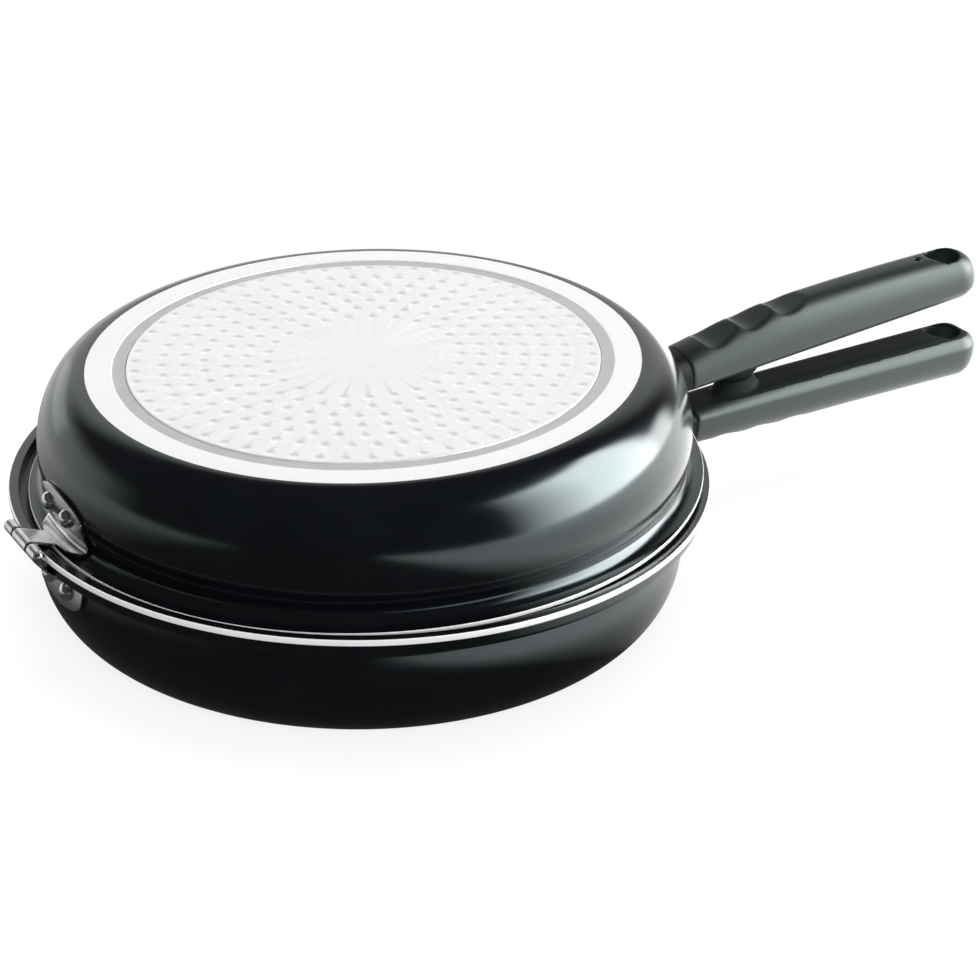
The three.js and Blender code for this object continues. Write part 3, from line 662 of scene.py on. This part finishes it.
# Grips and guards


def hollow_at(x):
    along = (x - grip.hollow_start) / grip.hollow_pitch
    if along <= 0 or along >= grip.hollows:
        return 0
    return grip.hollow_depth * math.sin(math.pi * (along % 1) ** grip.hollow_power)


def swell_at(x):
    """How far a grip has swollen towards its thickest place, 0 to 1."""
    return math.sin(min(x / grip.belly_place, 1) * math.pi / 2)


def height_at(pan, x):
    """Height of a grip's crest over its seam plane, without the finger hollows."""
    sizes = pan.grip
    if x < grip.belly_place:
        return lerp(sizes.root_height, sizes.belly_height, swell_at(x))
    fall = (x - grip.belly_place) / (grip.length - grip.belly_place)
    return lerp(sizes.belly_height, sizes.end_height, fall * fall)


def under(value, limit, blend):
    """The smaller of two heights, with a soft passage from one to the other."""
    return min(value, limit) - blend * math.log(1 + math.exp(-abs(value - limit) / blend))


def loaf_ring(pan, x, trim=0.0, end_offset=0.0, top=14, shoulder=8):
    """A loaf-shaped section: a rounded outer side that is scooped at its crest, crisp side edges
    and a shoulder to the flat seam face."""
    lift = trim - lerp(pan.grip.root_proud, pan.grip.belly_proud, swell_at(x))
    half_width, height = grip.half_width - trim, height_at(pan, x) - trim - lift
    edge_height = lerp(grip.root_edge, grip.end_edge, x / grip.length) - lift + trim
    hollow = hollow_at(x)
    turn = math.radians(grip.edge_angle)
    shoulder_reach = (half_width - grip.flat_half) / math.sin(turn)
    shoulder_rise = edge_height / (1 - math.cos(turn))
    shrink = 1 - end_offset / half_width
    power = grip.loaf_power
    half = []

    def place(inset, z):
        reach = half_width - inset
        half.append((math.sqrt(max(reach * reach - end_offset * end_offset, 0)), z + lift))

    for i in range(top + 1):
        share = math.sin(i / top * math.pi / 2) ** (2 / power)
        inset = half_width * (1 - share) * shrink
        rise = (1 - ((half_width - inset) / half_width) ** power) ** (1 / power)
        z = edge_height + (height - edge_height) * rise
        if hollow > 0:
            blend = grip.hollow_blend_share * hollow + grip.least_blend
            z = under(z, height - hollow, blend)
        place(inset, z)
    for i in range(1, shoulder + 1):
        reach = grip.flat_half + shoulder_reach * math.sin(turn * (1 - i / shoulder))
        inset = (half_width - reach) * shrink
        past = max(half_width - inset - grip.flat_half, 0) / shoulder_reach
        place(inset, shoulder_rise * (1 - math.sqrt(1 - past * past)))
    whole = half + [(-y, z) for y, z in half[:0:-1]]
    return [(x, y, z) for y, z in whole]


def grip_rings(pan):
    rings = [loaf_ring(pan, 0, grip.root_round)]
    round_start = grip.length - grip.half_width
    finger_end = grip.hollow_start + grip.hollows * grip.hollow_pitch
    places = [grip.root_round, grip.hollow_start / 2]
    places += [lerp(grip.hollow_start, finger_end, i / 60) for i in range(61)]
    places += [lerp(finger_end, round_start, i / 20) for i in range(1, 21)]
    rings += [loaf_ring(pan, x) for x in places]
    for i in range(1, 17):
        offset = grip.half_width * math.sin(i / 16 * math.radians(grip.end_turn))
        rings.append(loaf_ring(pan, round_start + offset, 0, offset))
    return rings


def pad_plane():
    """Middle and normal of the plane half way between the two seam faces at the closing pads."""
    seams = []
    for pan in (lower, upper):
        centre = pan.grip_frame @ Vector((pan.pad_place, 0, 0))
        ahead = pan.grip_frame @ Vector((pan.pad_place + grip.pad_half_length, 0, 0))
        seams.append((centre, ahead - centre))
    along = seams[0][1].normalized() + seams[1][1].normalized()
    normal = Vector((-along.z, 0, along.x)).normalized()
    return (seams[0][0] + seams[1][0]) / 2, normal


def closing_pad(pan):
    """The raised pad on the seam face that meets its partner when the handles close."""
    middle, normal = pad_plane()
    away = -1 if pan is lower else 1
    rings = []
    for rise, share in ((-grip.pad_seat / grip.pad_height, 1), *pad_shares):
        semi = (grip.pad_half_length * share, grip.pad_half_width * share)
        ring = []
        for x, y in arc((pan.pad_place, 0), semi, 0, 360, 48)[:-1]:
            point = Vector((x, y, -rise * grip.pad_height))
            clear = (pan.grip_frame @ point - middle).dot(normal) * away - GAP / 2
            point.z += max(-clear, 0)
            ring.append(tuple(point))
        rings.append(ring)
    return raw_object(f"{pan.name}_pad", pan.grip_frame, *loft(rings))


def hole_cutter(pan):
    """Oval hole right through the end, to hang the pan by."""
    radius = grip.hole_radius
    first = arc((hole_start + radius, 0), (radius, radius), 90, 270, 24)
    last = arc((hole_start + radius + grip.hole_straight, 0), (radius, radius), 270, 450, 24)
    return prism(f"{pan.name}_hole", pan.grip_frame, first + last, (-upper.depth, upper.depth))


def dot_cutter(pan):
    """The small blind dot before the hole."""
    place = hole_start - grip.dot_standoff
    top = height_at(pan, place)
    disc = arc((place, 0), (grip.dot_radius, grip.dot_radius), 0, 360, 24)[:-1]
    ends = (top - grip.dot_depth, top + grip.dot_depth)
    return prism(f"{pan.name}_dot", pan.grip_frame, disc, ends)


def recess_cutter(pan):
    """Bore from the hole towards the root, in which the screw's head sits."""
    z = pan.grip.root_height / 2
    disc = arc((0, z), (counterbore.radius, counterbore.radius), 0, 360, 40)[:-1]
    ends = (hole_start - counterbore.depth, hole_start + grip.hole_radius)
    rings = [[(x, y, z) for y, z in disc] for x in ends]
    return raw_object(f"{pan.name}_recess", pan.grip_frame, *loft(rings))


def moulded_grip(pan):
    """The grip in one piece, its edges softened as moulding leaves them."""
    made = raw_object(f"{pan.name}_moulded_grip", pan.grip_frame, *loft(grip_rings(pan)))
    cutters = [(closing_pad(pan), "UNION"), (hole_cutter(pan), "DIFFERENCE")]
    cutters += [(dot_cutter(pan), "DIFFERENCE"), (recess_cutter(pan), "DIFFERENCE")]
    tidy(made.data, 30)
    for cutter, operation in cutters:
        tidy(cutter.data, 30)
        add(made, "BOOLEAN", operation=operation, object=cutter, solver="EXACT")
    add(made, "REMESH", mode="VOXEL", voxel_size=grip.mesh_cell * MM)
    add(made, "SMOOTH", factor=0.5, iterations=4)
    settle(made)
    for cutter, _ in cutters:
        bpy.data.objects.remove(cutter)
    to_grip = pan.grip_frame.inverted() @ Matrix.Scale(1 / MM, 4)
    for face in made.data.polygons:
        face.material_index = int((to_grip @ face.center).z < grip.seam_band)
    dress(made, pan, [plastic, seam_plastic], f"{pan.name}_grip", 60)


def flame_guard(pan):
    """Sheet sleeve from the wall to the grip, its inner end following the wall."""
    outer, inner = loaf_ring(pan, 0, guard.inset), loaf_ring(pan, 0, guard.inset + guard.wall)
    to_pan = pan.frame.inverted() @ pan.grip_frame

    def against_wall(ring):
        met = []
        for x, y, z in ring:
            point = to_pan @ Vector((x, y, z))
            wall = wall_at(pan, max(point.z, guard.least_depth)) - guard.bite
            reach = math.sqrt(wall**2 - y * y)
            met.append(tuple(to_pan.inverted() @ Vector((reach, y, point.z))))
        return met

    def before_grip(ring):
        return [(-GAP, y, z) for _, y, z in ring]

    rings = [against_wall(outer), before_grip(outer), before_grip(inner), against_wall(inner)]
    count = len(outer)
    points = [point for ring in rings for point in ring]
    faces = []
    for r in range(4):
        for k in range(count):
            n, s = (k + 1) % count, (r + 1) % 4
            faces.append((r * count + k, r * count + n, s * count + n, s * count + k))
    made = raw_object(f"{pan.name}_sleeve", pan.grip_frame, points, faces)
    dress(made, pan, [sleeve], f"{pan.name}_flame_guard", 40)


# Hinge


def cross_row(radius, z, half, bend, count=28):
    """A row of points across a plate: bend 1 follows the pan's circle, 0 is straight."""
    row = []
    for k in range(count + 1):
        y = lerp(-half, half, k / count)
        fall = radius - math.sqrt(max(radius * radius - y * y, 0))
        row.append((-(radius - bend * fall), y, z))
    return row


def plate_rows(pan):
    """Rows up to down over the plate on the wall, from the top of its arch."""
    sizes, rows = pan.plate, []
    stand = GAP + hinge.plate / 2
    for i in range(1, 17):
        angle = i / 16 * math.pi / 2
        depth = lerp(sizes.shoulder, sizes.apex, math.cos(angle))
        rows.append((wall_at(pan, depth) + stand, depth, hinge.plate_half * math.sin(angle)))
    steps = 12
    for i in range(1, steps + 1):
        depth = lerp(sizes.shoulder, sizes.start, i / steps)
        rows.append((wall_at(pan, depth) + stand, depth, hinge.plate_half))
    return rows


def bend_points(start, corner, end, count=6):
    """A smooth bend between two points about a corner."""
    start, corner, end = Vector(start), Vector(corner), Vector(end)
    shares = [i / count for i in range(count + 1)]
    return [tuple(start.lerp(corner, t).lerp(corner.lerp(end, t), t)) for t in shares]


def hinge_hook():
    """Plate on the upper wall, ledge over the lip, and the tongue that climbs from it and curls
    round the pin."""
    wall = plate_rows(upper)
    level = upper.plate.start - hinge.sheet / 2
    bend_radius = wall[-1][0] + hinge.bend_play
    ledge_start = bend_radius + hinge.bend_run
    ledge_radius = lip_radius + hinge.ledge_reach
    foot = (-(ledge_radius - hinge.tongue_foot), level)
    reach = pin_hole + hinge.sheet / 2
    run, rise = foot[0] - upper_pin[0], upper_pin[1] - level
    climb = math.atan2(rise, run) + math.asin(reach / math.hypot(run, rise))
    rows = [cross_row(r, z, w, 1.0) for r, z, w in wall[:-2]]
    inner = math.sqrt(neck_radius**2 - hinge.plate_half**2)
    spread = hinge.plate_half - hinge.tongue_half

    def half_at(radius):
        share = min(max((radius - inner) / (ledge_radius - inner), 0), 1)
        return hinge.tongue_half + spread * math.sqrt(1 - share * share)

    bend = bend_points(wall[-2][:2], (bend_radius, level), (ledge_start, level))
    for r, z in bend[1:]:
        half = min(hinge.plate_half, half_at(r) + hinge.ledge_spare)
        rows.append(cross_row(r, z, half, 1.0))
    steps = 8
    for i in range(1, steps + 1):
        r = lerp(ledge_start, ledge_radius, math.sin(i / steps * math.pi / 2))
        share = min(max((r + foot[0]) / hinge.ledge_straight, 0), 1)
        lifted = level + max(r + foot[0], 0) * math.tan(climb)
        rows.append(cross_row(r, lifted, half_at(r), 1 - share))
    around = arc(upper_pin, (reach, reach), 90 - math.degrees(climb), 90 + hinge.hook_curl, 28)
    rows += [cross_row(-x, z, hinge.tongue_half, 0.0) for x, z in around]
    made = sheet("upper_hook", upper.frame, rows, hinge.sheet + hinge.hook_extra)
    dress(made, upper, [polished], "upper_hinge_hook", 25)


def hinge_bracket():
    """Plate on the lower wall with two arms that rise under the rim and curl round the pin."""
    rows = [cross_row(r, z, w, 1.0) for r, z, w in plate_rows(lower)]
    made = sheet("lower_bracket", lower.frame, rows, hinge.plate)
    centre = (pin_x, lower.depth - pin_z)
    slope = math.radians(hinge.arm_angle)
    reach = pin_hole + hinge.sheet / 2
    eye_end = 90 + hinge.arm_angle
    around = arc(centre, (reach, reach), eye_end + hinge.eye_curl, eye_end, 36)
    eye, run = around[-1], hinge.arm_reach
    knee = (eye[0] + run * math.cos(slope), eye[1] + run * math.sin(slope))
    seat = wall_at(lower, lower.plate.start) + GAP + hinge.plate / 2
    landing = (-seat, lower.plate.start + 2 * hinge.plate)
    bend_in = [lerp(a, b, hinge.arm_straight) for a, b in zip(eye, knee)]
    line = around + bend_points(bend_in, knee, landing, 8)
    for side in (-1, 1):
        rows = []
        for i, (x, z) in enumerate(line):
            follow = max((i - len(around)) / (len(line) - len(around) - 1), 0)
            row = []
            for k in range(9):
                y = lerp(hinge.eye_inner, hinge.eye_outer, k / 8) * side
                row.append((x + follow * (seat - math.sqrt(seat**2 - y * y)), y, z))
            rows.append(row)
        arm = sheet("lower_bracket_arm", lower.frame, rows, hinge.sheet)
        joined(made, arm)
    dress(made, lower, [polished], "lower_hinge_bracket", 25)


def joined(whole, part):
    """Adds one object's mesh to another's."""
    work = bmesh.new()
    work.from_mesh(whole.data)
    work.from_mesh(part.data)
    work.to_mesh(whole.data)
    work.free()
    bpy.data.objects.remove(part)


def hinge_pin():
    """Round pin with a crowned head at each end."""
    end = hinge.eye_outer + GAP
    tip = end + pin_head.thickness
    half = [
        (hinge.pin_radius, end, 0, 0),
        (pin_head.radius, end, 0, pin_head.seat_round),
        (pin_head.radius, end + pin_head.straight, 0, pin_head.edge_round),
        (hinge.pin_radius * pin_head.tip_share, tip, 0, pin_head.tip_round),
        (0, tip + pin_head.crown, 0, 0),
    ]
    other = [(r, -z, finish, size) for r, z, finish, size in half[::-1]]
    points, faces, _ = turned(softened(other + half), SMALL_ROUND)
    place = lower.frame @ Matrix.Translation((pin_x, 0, lower.depth - pin_z))
    made = raw_object("turned_pin", place @ Matrix.Rotation(math.pi / 2, 4, "X"), points, faces)
    dress(made, lower, [polished], "hinge_pin", 30)


def rivet_heads(pan):
    """Domed heads on the plate, each square to the wall, with the shank's closed head inside."""
    depth = pan.plate.rivet
    lean = math.atan2(wall_at(pan, depth + 1) - wall_at(pan, depth - 1), 2)
    face = wall_at(pan, depth) + (GAP + hinge.plate) / math.cos(lean)
    spread = math.asin(rivet.half_spacing / face)
    inner = wall_at(pan, depth) - shell.wall - rivet.inner_play - face
    tip = inner - rivet.inner_height
    semi = (rivet.radius - rivet.dome_inset, rivet.height - rivet.flange)
    outline = marked(arc((0, rivet.flange), semi, 90, rivet.dome_end, 10), 0)
    outline += [
        (rivet.radius, rivet.flange, 0, rivet.flange_round),
        (rivet.radius, -rivet.seat, 0, 0),
        (rivet.shank_radius, -rivet.seat, 0, 0),
        (rivet.shank_radius, inner, 0, 0),
        (rivet.inner_radius, inner, 0, rivet.inner_round),
        (rivet.shank_radius, tip, 0, rivet.inner_tip_round),
        (0, tip, 0, 0),
    ]
    points, faces, _ = turned(softened(outline), SMALL_ROUND)
    stand = Matrix.Translation((face, 0, depth)) @ Matrix.Rotation(math.pi / 2 + lean, 4, "Y")
    for side in (-1, 1):
        place = pan.frame @ Matrix.Rotation(math.pi + side * spread, 4, "Z") @ stand
        end = "rear" if (side < 0) == (pan is upper) else "front"
        made = raw_object(f"{pan.name}_domed_rivet_{end}", place, points, faces)
        dress(made, pan, [polished], f"{pan.name}_rivet_{end}", 35)


# Assembly

pan_body(lower, lower_outline())
pan_body(upper, upper_outline())
for pan in (lower, upper):
    base_disc(pan)
    moulded_grip(pan)
    flame_guard(pan)
    rivet_heads(pan)
hinge_hook()
hinge_bracket()
hinge_pin()
plain_pieces = {
    "handle_boss": boss_finish, "handle_screw": screw_finish, "spring_washer": screw_finish,
}
for name, finish in plain_pieces.items():
    for pan in (lower, upper):
        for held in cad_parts[f"{pan.name}_{name}"].material_slots:
            held.material = finish

# Stage


def light_path(finish):
    """Which rays come from the camera, from gloss and through clear things, each 0 or 1."""
    rays = ("Is Camera Ray", "Is Glossy Ray", "Is Transmission Ray")
    return finish.node("ShaderNodeLightPath", output=rays)


def backdrop_floor():
    """Pale floor that holds the object's shadow: white to the camera, while gloss meets its lit
    parts at the back and the right and its dark part in front. Places on it are in metres."""
    bpy.ops.mesh.primitive_circle_add(vertices=96, radius=6.0, fill_type="NGON", location=(0, 0, 0))
    floor = bpy.context.object
    floor.name = "studio_floor"
    finish = Finish("studio_floor")
    camera, glossy, clear = light_path(finish)
    x, y, _ = finish.parts(finish.place)
    grain = finish.noise(8, 2.0)
    tone = finish.mix(grain, (0.25, 0.25, 0.25), (0.27, 0.27, 0.27))
    matt = finish.node("ShaderNodeBsdfDiffuse", None, {"Color": tone})
    glow = finish.node("ShaderNodeEmission", None, {"Strength": (camera + clear) * 0.8})
    behind = (0.9 * y - 0.4 * x).between(0.1, 0.35)
    right = 2.2 * (0.9 * x - 0.45 * y).between(0.10, 0.19) + 1.0 * x.between(0.21, 0.5)
    lit = finish.node("ShaderNodeEmission", None, {"Strength": 0.06 + 0.9 * behind + right})
    both = finish.node("ShaderNodeAddShader", None, {0: matt, 1: glow})
    surface = finish.node("ShaderNodeMixShader", None, {0: glossy, 1: both, 2: lit})
    finish.put(finish.tree.nodes["Material Output"].inputs["Surface"], surface)
    finish.tree.nodes.remove(finish.shader)
    floor.data.materials.append(finish.material)


class Sky(Finish):
    """The world: white to the camera; to gloss a dark room with a white backdrop behind the object
    and a tall soft box at its right with a lower one beside it. turn is the angle about Z in
    degrees, and z the sine of the height."""

    def __init__(self):
        world = bpy.data.worlds.new("studio")
        world.use_nodes = True
        bpy.context.scene.world = world
        self.tree = world.node_tree
        camera, glossy, clear = light_path(self)
        self.place = self.node("ShaderNodeTexCoord", output="Generated")
        x, y, z = self.parts(self.place)
        turn = self.angle(x, y) * (180 / math.pi)
        backdrop = turn.within((20, 34), (138, 160)) * (1 - z.between(0.54, 0.69))
        backdrop *= 1 - turn.between(86, 106) * z.between(0.2, 0.42)
        side_box = turn.within((-70, -34), (-6, 1)) * (1 - z.between(0.72, 0.78))
        low_box = turn.within((-20, -2), (10, 16)) * (1 - z.between(0.22, 0.34))
        mirrored = 0.05 + 0.95 * backdrop + 17.0 * side_box + 8.0 * (low_box * (1 - side_box))
        shown = (glossy + clear).clamped()
        strength = camera + (1 - camera) * (shown * mirrored + (1 - shown) * 0.55)
        ground = self.tree.nodes["Background"]
        self.put(ground.inputs["Color"], (1.0, 1.0, 1.0))
        self.put(ground.inputs["Strength"], strength)


closed_middle = Vector((0, 0, 0.05))  # of the two pans, in metres


def lamp(name, azimuth, elevation, distance, size, level, gloss):
    """A soft box that faces the pans from a direction, angles in degrees, sizes in metres.

    Its level is the tone of its face. Gloss boxes are only mirrored, and the others only light."""
    a, e = math.radians(azimuth), math.radians(elevation)
    out = Vector((math.cos(a) * math.cos(e), math.sin(a) * math.cos(e), math.sin(e)))
    data = bpy.data.lights.new(name, "AREA")
    data.shape, data.size, data.size_y = "RECTANGLE", *size
    data.energy = level * math.pi * size[0] * size[1]
    made = bpy.data.objects.new(name, data)
    made.location = closed_middle + out * distance
    made.rotation_mode = "QUATERNION"
    made.rotation_quaternion = out.to_track_quat("Z", "Y")
    made.visible_camera = False
    made.visible_diffuse, made.visible_glossy = not gloss, gloss
    bpy.context.scene.collection.objects.link(made)


backdrop_floor()
Sky()
lamp("overhead", 40, 75, distance=1.6, size=(1.4, 1.4), level=2.8, gloss=False)
lamp("front_fill", -110, 25, distance=1.8, size=(1.2, 0.8), level=6.5, gloss=False)
lamp("left_back_box", 100, 4, distance=3.0, size=(1.4, 1.2), level=0.7, gloss=True)

# Camera, at the photograph's angle

PHOTO_WIDTH = 980  # pixels
FOCAL_LENGTH = 2500  # in the same pixels
SENSOR_WIDTH = 36.0
camera_view = Sizes(
    place=(-0.39924, -0.76694, 0.47535), turn=(0.822991, 0.504495, -0.144528, -0.217445),
    nearest=0.05, farthest=50.0,
)


def photo_camera():
    data = bpy.data.cameras.new("photo_camera")
    data.sensor_width, data.lens = SENSOR_WIDTH, FOCAL_LENGTH / PHOTO_WIDTH * SENSOR_WIDTH
    data.clip_start, data.clip_end = camera_view.nearest, camera_view.farthest
    camera = bpy.data.objects.new("photo_camera", data)
    camera.location = camera_view.place
    camera.rotation_mode = "QUATERNION"
    camera.rotation_quaternion = camera_view.turn
    bpy.context.scene.collection.objects.link(camera)
    bpy.context.scene.camera = camera


photo_camera()
bpy.context.scene.view_settings.view_transform = "Standard"
